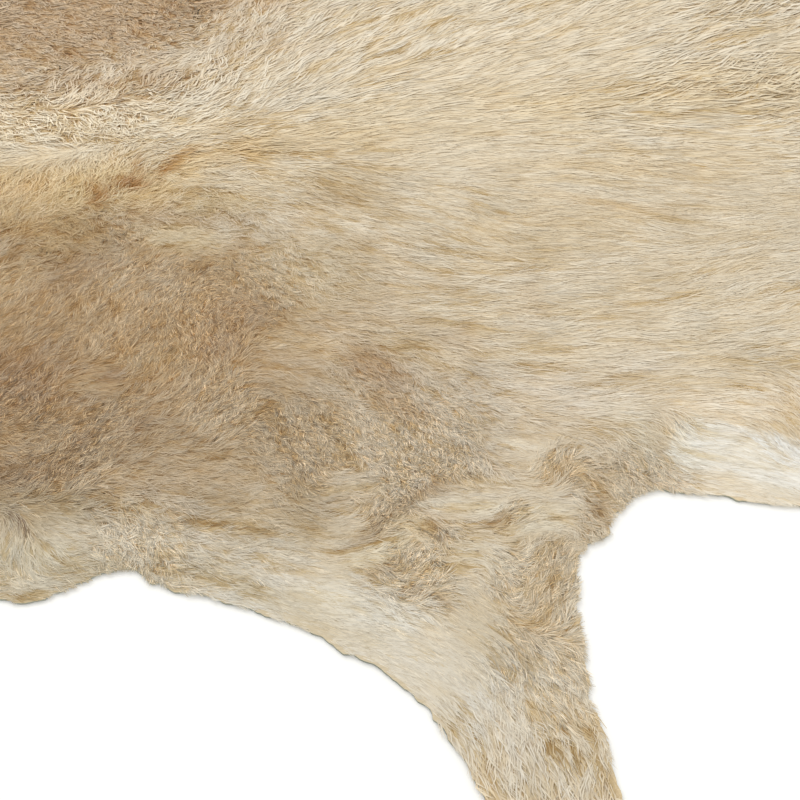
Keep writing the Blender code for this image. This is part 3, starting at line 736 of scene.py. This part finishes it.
def away_from_close(x, y):
    """How far each point lies outside the part looked at closely, a wedge that faces the viewer."""
    off_x, off_y = x - CLOSE_PLACE[0], y - CLOSE_PLACE[1]
    ahead = off_x * math.cos(CLOSE_TURN) + off_y * math.sin(CLOSE_TURN)
    beyond = off_y * math.cos(CLOSE_TURN) - off_x * math.sin(CLOSE_TURN)
    past_side = np.maximum(np.abs(ahead) - CLOSE_ALONG - CLOSE_WIDENS * beyond, 0)
    past_end = np.maximum(np.maximum(beyond - CLOSE_ACROSS[1], CLOSE_ACROSS[0] - beyond), 0)
    return np.hypot(past_side, past_end)


def combed_noise(x, y, size, run, steps, seed):
    """Noise drawn out along the lay over each point's run, with a spread of about one."""
    total = value_noise(x, y, size, seed)
    for way in (-1, 1):
        at_x, at_y = x, y
        for _ in range(steps):
            lay = lay_at(at_x, at_y)
            at_x = at_x + way * np.cos(lay) * run / (2 * steps)
            at_y = at_y + way * np.sin(lay) * run / (2 * steps)
            total = total + value_noise(at_x, at_y, size, seed)
    return total / total.std()


ground = hair_ground()
dice = np.random.default_rng(DICE_SEED)
seed_x, seed_y = np.meshgrid(
    np.arange(grid_x[0], grid_x[-1], SEED_SPACING), np.arange(grid_y[0], grid_y[-1], SEED_SPACING)
)
column, row = np.meshgrid(np.arange(seed_x.shape[1]), np.arange(seed_x.shape[0]))
spread_out = (EVEN_SPREAD[0] * column + EVEN_SPREAD[1] * row).ravel() % 1
seed_x = (seed_x + dice.uniform(-0.5, 0.5, seed_x.shape) * SEED_SPACING).ravel()
seed_y = (seed_y + dice.uniform(-0.5, 0.5, seed_y.shape) * SEED_SPACING).ravel()
on_hide = read_grid(inward, seed_x, seed_y) > ROOT_INSET
spread_out, seed_x, seed_y = spread_out[on_hide], seed_x[on_hide], seed_y[on_hide]
coarse = np.interp(away_from_close(seed_x, seed_y), (0, COARSENS_OVER), (1.0, COARSE))
seed_length = read_grid(lay_length, seed_x, seed_y) * (1 + COARSE_LONGER * (coarse - 1))
seed_width = (NARROWEST + WIDTH_TO_LENGTH * seed_length) * coarse
seed_cover = np.select(
    [seed_length < STUB_HAIR, seed_length < SHORT_HAIR],
    [SHORT_COVER / SPIKE_COVER, SHORT_COVER / BLADE_COVER],
    LONG_COVER / ((SPIKE_COVER + BENT_COVER) / 2),
)
wanted = seed_cover * SEED_SPACING**2 / (STRANDS_PER_LOCK * seed_length * seed_width)
kept = spread_out < wanted
lock_x, lock_y, lock_length, lock_width, lock_coarse = (
    field[kept] for field in (seed_x, seed_y, seed_length, seed_width, coarse)
)
locks = len(lock_x)
lock_curl = read_grid(lay_curl, lock_x, lock_y)
lock_turn = (CURL_TURN_EACH * lock_curl + DRIFT_TURN_EACH) * dice.normal(size=locks)
lock_turn += lock_curl * layered_noise(lock_x, lock_y, CURL_TURNS)
lock_turn += layered_noise(lock_x, lock_y, DRIFT_TURNS)
lock_bend = dice.normal(size=locks) * (LEAST_BEND + lock_curl)
lock_wave = dice.uniform(0, 2 * math.pi, locks)
lock_rank = np.clip(dice.normal(size=locks), -MOST_RANK, MOST_RANK)
lock_length = lock_length * dice.uniform(*LOCK_LENGTHS, locks)


# What sets strands apart. Fine partings and broad wisps run along the lay, each lock ranks higher or
# lower among its neighbours, and each strand differs a little. A high one lifts more and is painted
# paler, painted light on the raised hair, and a low one and the deepest partings are painted darker,
# painted shade between the locks, over the hair's own differences in tone. The shortest hair is
# flecked, strand by strand, and its palest flecks are partly painted glints.
PARTING_SIZE, PARTING_RUN, PARTING_STEPS, PARTING_SEED = 0.0042, 1.1, 5, 41
WISP_SIZE, WISP_RUN, WISP_STEPS, WISP_SEED = 0.0075, 0.075, 9, 42
MIDDLE_TONE = 0.60
PARTING_TONE, WISP_TONE, RANK_TONE = 0.16, 0.15, 0.07
SHORT_SHARE, SHORT_RANK, CURLED_RANK = 0.70, 1.4, 2.6
DEEP_WISP, DEEP_PARTING_SHADE = 1.0, 0.05
STRAND_TONE, CURLED_TONE = 0.02, 0.10
FLECK_LENGTHS, FLECKS, MOST_FLECK = (0.008, 0.015), (0.33, 0.03), 1.6
PALE_FLECK_AND_GLINT = "C4B294"
PARTING_LIFT, WISP_LIFT, RANK_LIFT, STRAND_LIFT = 0.20, 0.15, 0.28, 0.05
LEAST_LIFT, MOST_LIFT = 0.45, 2
LEAST_TILT, CURLED_TILT, LOW_LAYER = 0.013, 0.15, 0.6
SMOOTH_CURL, LIVELY_CURL, SMOOTH_SHARE = 0.05, 0.15, 0.25
ROOT_SCATTER = 0.0015
SEEN_FROM_ROOT = 0.6
MOTTLE, MOTTLE_SIZE, MOTTLE_SEED = 0.06, 0.030, 61

owner = np.repeat(np.arange(locks), STRANDS_PER_LOCK)
within = np.tile(np.arange(STRANDS_PER_LOCK), locks)
strands = len(owner)
curl = lock_curl[owner]
facing = (lay_at(lock_x, lock_y) + lock_turn)[owner]
beside = (within + dice.uniform(0, 1, strands)) / STRANDS_PER_LOCK - 0.5
off_middle = beside * LOCK_BREADTH * lock_width[owner]
off_root = dice.uniform(-1, 1, strands) * LOCK_RUN * lock_length[owner]
root_x = lock_x[owner] + np.cos(facing) * off_root - np.sin(facing) * off_middle
root_y = lock_y[owner] + np.sin(facing) * off_root + np.cos(facing) * off_middle
strand_length = lock_length[owner] * dice.uniform(*STRAND_LENGTHS, strands)
strand_width = lock_width[owner] * dice.uniform(*STRAND_WIDTHS, strands)
strand_turn, strand_bend, strand_roll = (
    dice.normal(size=strands) * (least + curled * curl)
    for least, curled in (STRAND_TURN, STRAND_BEND, STRAND_ROLL)
)
short = lock_length[owner] < SHORT_HAIR
low = (within % 2 == 0) & ~short
plain = ((strand_length < LONG_HAIR) & (curl < PLAIN_CURL)) | (lock_coarse[owner] > PLAIN_COARSE)
kind = np.select([low | (lock_length[owner] < STUB_HAIR), short, plain], [SPIKE, BLADE, BENT], WAVY)
seen_x = root_x + SEEN_FROM_ROOT * strand_length * np.cos(facing)
seen_y = root_y + SEEN_FROM_ROOT * strand_length * np.sin(facing)
parting_run = PARTING_RUN * strand_length
parting = combed_noise(seen_x, seen_y, PARTING_SIZE, parting_run, PARTING_STEPS, PARTING_SEED)
wisp = combed_noise(lock_x, lock_y, WISP_SIZE, WISP_RUN, WISP_STEPS, WISP_SEED)[owner]
rank = lock_rank[owner] * np.where(short, SHORT_RANK, 1 + CURLED_RANK * curl)
lively = np.interp(curl, (SMOOTH_CURL, LIVELY_CURL), (SMOOTH_SHARE, 1))
lift = 1 + lively * (PARTING_LIFT * parting + WISP_LIFT * wisp + RANK_LIFT * rank)
lift = np.clip(lift + STRAND_LIFT * dice.normal(size=strands), LEAST_LIFT, MOST_LIFT)
tilt = (LEAST_TILT + CURLED_TILT * curl) * lift * np.where(low, LOW_LAYER, 1)
# The tone is partly the hair's own and partly painted: paler on raised hair, darker in the partings.
strand_tone = MIDDLE_TONE + lively * (
    (PARTING_TONE * parting + WISP_TONE * wisp) * np.where(short, SHORT_SHARE, 1) + RANK_TONE * rank
    - DEEP_PARTING_SHADE * np.clip(-wisp - DEEP_WISP, 0, 1) * np.where(short, 0, 1)
)
strand_tone += (STRAND_TONE + CURLED_TONE * curl) * dice.normal(size=strands)
strand_tone = np.clip(strand_tone, 0, 1)
on_leather = read_grid(inward, root_x, root_y) > STRAND_INSET
overhang = OVERHANG * dice.uniform(*OVERHANGS, strands)
mottle = 1 + MOTTLE * value_noise(root_x, root_y, MOTTLE_SIZE, MOTTLE_SEED)
fleck = np.interp(lock_length[owner], FLECK_LENGTHS, FLECKS)
flecked = 1 + fleck * np.clip(dice.normal(size=strands), -MOST_FLECK, MOST_FLECK)
fleck = flecked**2 / (1 + fleck**2)
strand_coat = coat_colour(
    seen_x + dice.normal(size=strands) * ROOT_SCATTER,
    seen_y + dice.normal(size=strands) * ROOT_SCATTER,
)
strand_coat = strand_coat * (mottle * np.minimum(fleck, 1))[:, None]
# Flecks above the mean are brightened toward a pale colour: partly paler hairs, partly painted glints.
strand_coat += np.maximum(fleck - 1, 0)[:, None] * np.array(hex_colour(PALE_FLECK_AND_GLINT)[:3])


def grow(chosen, taper):
    """The chosen strands' points: a pair at each station, or one at a pointed tip."""
    x, y = root_x[chosen], root_y[chosen]
    long, curly, wide, rolled = (
        field[chosen] for field in (strand_length, curl, strand_width, strand_roll)
    )
    of_lock = owner[chosen]
    drawn_in = np.arctan2(-off_middle[chosen] * DRAW_TOGETHER, long)
    turned = lock_turn[of_lock] + strand_turn[chosen] + drawn_in
    bent = lock_bend[of_lock] + strand_bend[chosen]
    waved, phase = LEAST_WAVE + WAVE_TURN * curly, lock_wave[of_lock]
    path, headings = [], []
    segments = len(taper) - 1
    for station in range(len(taper)):
        along = station / segments
        heading = lay_at(x, y) + turned
        heading = heading + bent * (along - BEND_FROM) + waved * np.sin(WAVES * along + phase)
        rise = tilt[chosen] * long * (along - DROOP * curly * along**2)
        path.append(np.stack([x, y, rise], axis=1))
        headings.append(heading)
        x = x + np.cos(heading) * long / segments
        y = y + np.sin(heading) * long / segments
    tip_in = read_grid(inward, path[-1][:, 0], path[-1][:, 1]) + overhang[chosen]
    root_in = read_grid(inward, path[0][:, 0], path[0][:, 1]) + overhang[chosen]
    share_in = np.clip(root_in / (root_in - tip_in), SHORTEST_TRIM, 1)
    trimmed = np.where(tip_in < 0, share_in, 1)[:, None]
    rows = []
    for share, spot, heading in zip(taper, path, headings):
        spot[:, :2] = path[0][:, :2] + (spot[:, :2] - path[0][:, :2]) * trimmed
        reach = wide * share / 2
        spread = np.stack([
            -np.sin(heading) * reach * np.cos(rolled),
            np.cos(heading) * reach * np.cos(rolled),
            reach * np.sin(rolled),
        ], axis=1)
        for side in (spot + spread, spot - spread) if share else (spot,):
            side[:, 2] += read_grid(ground, side[:, 0], side[:, 1])
            rows.append(side)
    return np.stack(rows, axis=1)


def strand_faces(taper):
    """A strand's faces: four-sided ones between the pairs of points, and a three-sided tip."""
    pairs = sum(share > 0 for share in taper)
    corners = [2 * pair + step for pair in range(pairs - 1) for step in (0, 1, 3, 2)]
    starts = list(range(0, len(corners), 4))
    if taper[-1] == 0:
        starts.append(len(corners))
        corners += [2 * pairs - 2, 2 * pairs - 1, 2 * pairs]
    return corners, starts


# Each strand has a bake cell, inset a little from its share of the map, and its own place in the
# noise of the streaks, a shift further for each strand.
CELL_INSET = 0.08
STREAK_SHIFT = 0.01


def hair_piece(name, chosen):
    """One mesh of the chosen strands, with what its material reads and a bake cell for each."""
    points, corners, starts, facts, fibres, coats, bakes = [], [], [], [], [], [], []
    across = math.ceil(math.sqrt(len(chosen)))
    made = corner_count = cell = 0
    for index, taper in enumerate(TAPERS):
        some = chosen[kind[chosen] == index]
        number = len(some)
        loops, face_starts = strand_faces(taper)
        along = np.concatenate([
            np.full(2 if share else 1, station / (len(taper) - 1)) for station, share in enumerate(taper)
        ])
        over = np.concatenate([[0.0, 1.0] if share else [0.5] for share in taper])
        each = len(along)
        first = np.arange(number)[:, None]
        points.append(grow(some, taper).reshape(-1, 3))
        corners.append((made + first * each + np.array(loops)).ravel())
        starts.append((corner_count + first * len(loops) + np.array(face_starts)).ravel())
        facts.append(np.stack([
            np.tile(along, number),
            np.repeat(strand_tone[some], each),
            np.repeat(curl[some], each),
        ], axis=1))
        fibres.append(np.stack([
            np.tile(over, number) * np.repeat(strand_width[some], each),
            np.tile(along, number) * np.repeat(strand_length[some], each),
            np.repeat(some * STREAK_SHIFT, each),
        ], axis=1))
        coats.append(np.repeat(strand_coat[some], each, axis=0))
        corner_spots = CELL_INSET + (1 - 2 * CELL_INSET) * np.stack([over, along], axis=1)[loops]
        cells = np.stack([(cell + first.ravel()) % across, (cell + first.ravel()) // across], axis=1)
        bakes.append(((cells[:, None, :] + corner_spots) / across).reshape(-1, 2))
        made += number * each
        corner_count += number * len(loops)
        cell += number
    mesh = bpy.data.meshes.new(name)
    mesh.vertices.add(made)
    mesh.vertices.foreach_set("co", np.concatenate(points).astype(np.float32).ravel())
    mesh.loops.add(corner_count)
    mesh.loops.foreach_set("vertex_index", np.concatenate(corners).astype(np.int32))
    starts = np.concatenate(starts).astype(np.int32)
    mesh.polygons.add(len(starts))
    mesh.polygons.foreach_set("loop_start", starts)
    mesh.update(calc_edges=True)
    store(mesh, "coat", np.concatenate(coats))
    store(mesh, "strand", np.concatenate(facts))
    store(mesh, "fibre", np.concatenate(fibres))
    bake_map = mesh.uv_layers.new(name="OFBake")
    bake_map.uv.foreach_set("vector", np.concatenate(bakes).astype(np.float32).ravel())
    mesh.shade_smooth()
    piece = bpy.data.objects.new(name, mesh)
    bpy.context.collection.objects.link(piece)
    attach(piece, "root")
    return piece


# Region of the body: name, from and to along the spine, and which side, or 0 for both.
FRONT, BACK = -9.0, 9.0
REGIONS = (
    ("neck_hair", FRONT, -0.80, 0),
    ("near_neck_side_hair", -0.80, -0.66, -1),
    ("near_shoulder_hair", -0.66, -0.54, -1),
    ("near_arm_hair", -0.54, -0.40, -1),
    ("near_elbow_hair", -0.40, -0.10, -1),
    ("far_neck_side_hair", -0.80, -0.50, 1),
    ("far_shoulder_hair", -0.50, -0.10, 1),
    ("near_side_hair", -0.10, 0.50, -1),
    ("far_side_hair", -0.10, 0.50, 1),
    ("near_rump_hair", 0.50, BACK, -1),
    ("far_rump_hair", 0.50, BACK, 1),
)
hair = []
for name, start, end, side in REGIONS:
    here = on_leather & (lock_x[owner] >= start) & (lock_x[owner] < end)
    if side:
        here &= np.sign(lock_y[owner]) == side
    hair.append(hair_piece(name, np.flatnonzero(here)))

# Cattle hair. Each strand is a shade darker at the root, partly its own colour and partly painted
# shade deep in the pile, most where curled hair stands up, and finely streaked along its length, and
# locks and strands differ in tone from tan to pale cream, with painted light on raised hair and
# painted shade in the partings. It is matt, with a soft sheen. Places along a strand run from 0 at
# its root to 1 at its tip.
HAIR_ROUGHNESS = 0.55
HAIR_SPECULAR = 0.25
HAIR_SHEEN = 0.05
HAIR_STREAK, HAIR_STREAK_RUN = 0.0006, 0.012
STREAK_TONES = (0.94, 1.04)
ROOT_TONE_AND_SHADE = "C2A272"
ROOT_TONE_ENDS = 0.45
CURLED_ROOTS = (0.15, 0.70)
SMOOTH_ROOTS = 0.25
# The tone ramp carries the painted light of raised strands and the painted shade of the partings, as
# well as the hair's own tone.
TONES = ((0.00, "BDA272"), (0.30, "E4D5B6"), (0.60, "F8F4EC"), (1.00, "FDFEFF"))
TIP_COLOUR = "EFE6D2"
TIP_STARTS, TIP_SHARE = 0.3, 0.30

coat = bpy.data.materials.new("cattle hair")
coat.use_nodes = True
tree = coat.node_tree
shader = tree.nodes["Principled BSDF"]
coat_there = add_node(tree, "ShaderNodeAttribute", {"attribute_name": "coat"}).outputs["Vector"]
fibre = add_node(tree, "ShaderNodeAttribute", {"attribute_name": "fibre"}).outputs["Vector"]
facts = add_node(tree, "ShaderNodeAttribute", {"attribute_name": "strand"}).outputs["Vector"]
strand = add_node(tree, "ShaderNodeSeparateXYZ", Vector=facts)
ramp = add_node(tree, "ShaderNodeValToRGB", Fac=strand.outputs["Y"])
stops = ramp.color_ramp.elements
while len(stops) < len(TONES):
    stops.new(0.5)
for stop, (position, paint) in zip(stops, TONES):
    stop.position = position
    stop.color = hex_colour(paint)
tip = add_node(tree, "ShaderNodeMapRange", Value=strand.outputs["X"],
               From_Min=TIP_STARTS, From_Max=1.0, To_Min=0.0, To_Max=TIP_SHARE)
pale = add_node(tree, "ShaderNodeMath", {"operation": "MULTIPLY"},
                in0=tip.outputs[0], in1=strand.outputs["Y"])
tipped = add_node(tree, "ShaderNodeMix", {"data_type": "RGBA"},
                  Factor=pale.outputs[0], in6=coat_there, in7=hex_colour(TIP_COLOUR))
toned = add_node(tree, "ShaderNodeMix", {"data_type": "RGBA", "blend_type": "MULTIPLY"},
                 Factor=1.0, in6=tipped.outputs[2], in7=ramp.outputs["Color"])
# Roots are darkened over the first part of each strand, more in curled hair: partly darker roots, partly
# painted shade deep in the pile.
depth = add_node(tree, "ShaderNodeMapRange", Value=strand.outputs["X"],
                 From_Min=0.0, From_Max=ROOT_TONE_ENDS, To_Min=1.0, To_Max=0.0)
curliness = add_node(tree, "ShaderNodeMapRange", Value=strand.outputs["Z"], To_Max=1.0,
                     From_Min=CURLED_ROOTS[0], From_Max=CURLED_ROOTS[1], To_Min=SMOOTH_ROOTS)
root_share = add_node(tree, "ShaderNodeMath", {"operation": "MULTIPLY"},
                      in0=depth.outputs[0], in1=curliness.outputs[0])
rooted = add_node(tree, "ShaderNodeMix", {"data_type": "RGBA", "blend_type": "MULTIPLY"},
                  Factor=root_share.outputs[0], in6=toned.outputs[2], in7=hex_colour(ROOT_TONE_AND_SHADE))
drawn = add_node(tree, "ShaderNodeMapping", Vector=fibre,
                 Scale=(1 / HAIR_STREAK, 1 / HAIR_STREAK_RUN, 1 / STREAK_SHIFT))
streak = add_node(tree, "ShaderNodeTexNoise", Vector=drawn.outputs[0], Scale=1.0, Detail=1.0)
streak_tone = add_node(tree, "ShaderNodeMapRange", Value=streak.outputs["Fac"], From_Min=NOISE_FROM,
                       From_Max=NOISE_TO, To_Min=STREAK_TONES[0], To_Max=STREAK_TONES[1])
final = add_node(tree, "ShaderNodeVectorMath", {"operation": "SCALE"},
                 in0=rooted.outputs[2], in3=streak_tone.outputs[0])
tree.links.new(final.outputs[0], shader.inputs["Base Color"])
shader.inputs["Roughness"].default_value = HAIR_ROUGHNESS
shader.inputs["Specular IOR Level"].default_value = HAIR_SPECULAR
shader.inputs["Sheen Weight"].default_value = HAIR_SHEEN
for piece in hair:
    piece.data.materials.append(coat)

# The floor. A plain pale floor of matt paint, far wider than the picture. It lies a hair's breadth
# under the hide, so that the two don't share a plane.
FLOOR_SIZE = 12.0
FLOOR_DROP = 0.0004
FLOOR_PAINT = "F7F6F2"
FLOOR_ROUGHNESS = 0.9

bpy.ops.mesh.primitive_plane_add(size=FLOOR_SIZE, location=(0.0, 0.0, -FLOOR_DROP))
floor = bpy.context.object
floor.name = "floor"
floor_paint = bpy.data.materials.new("matt floor paint")
floor_paint.use_nodes = True
shader = floor_paint.node_tree.nodes["Principled BSDF"]
shader.inputs["Base Color"].default_value = hex_colour(FLOOR_PAINT)
shader.inputs["Roughness"].default_value = FLOOR_ROUGHNESS
floor.data.materials.append(floor_paint)

# The lights. One large soft light high behind the hide and to its left, a weaker one in front, and
# an even white surround, so the near edges carry a thin soft shadow. Name, place, size and power.
LAMPS = (
    ("key", (-1.6, 1.7, 2.6), 2.4, 45.0),
    ("fill", (0.8, -2.6, 2.2), 2.6, 22.0),
)
SURROUND_COLOUR = "FFFFFF"
SURROUND_STRENGTH = 0.85

for name, place, size, power in LAMPS:
    bpy.ops.object.light_add(type="AREA", location=place)
    lamp = bpy.context.object
    lamp.name = name
    lamp.data.size = size
    lamp.data.energy = power
    lamp.rotation_euler = (-Vector(place)).to_track_quat("-Z", "Y").to_euler()

world = bpy.data.worlds.new("studio")
bpy.context.scene.world = world
world.use_nodes = True
world.node_tree.nodes["Background"].inputs["Color"].default_value = hex_colour(SURROUND_COLOUR)
world.node_tree.nodes["Background"].inputs["Strength"].default_value = SURROUND_STRENGTH
bpy.context.scene.view_settings.view_transform = "Standard"

# The camera. It looks down at the near shoulder from beyond the near foreleg, turned a little
# towards the tail, as the photograph does.
CAMERA_PITCH = math.radians(50.0)
CAMERA_DISTANCE = 1.12
CAMERA_LENS, CAMERA_SENSOR = 50.0, 36.0
CAMERA_NEAREST = 0.05

back = CAMERA_DISTANCE * math.cos(CAMERA_PITCH)
bpy.ops.object.camera_add(
    location=(
        CLOSE_PLACE[0] + back * math.sin(CLOSE_TURN),
        CLOSE_PLACE[1] - back * math.cos(CLOSE_TURN),
        CAMERA_DISTANCE * math.sin(CAMERA_PITCH),
    ),
    rotation=(math.pi / 2 - CAMERA_PITCH, 0.0, CLOSE_TURN),
)
camera = bpy.context.object
camera.data.lens = CAMERA_LENS
camera.data.sensor_width = CAMERA_SENSOR
camera.data.clip_start = CAMERA_NEAREST
bpy.context.scene.camera = camera
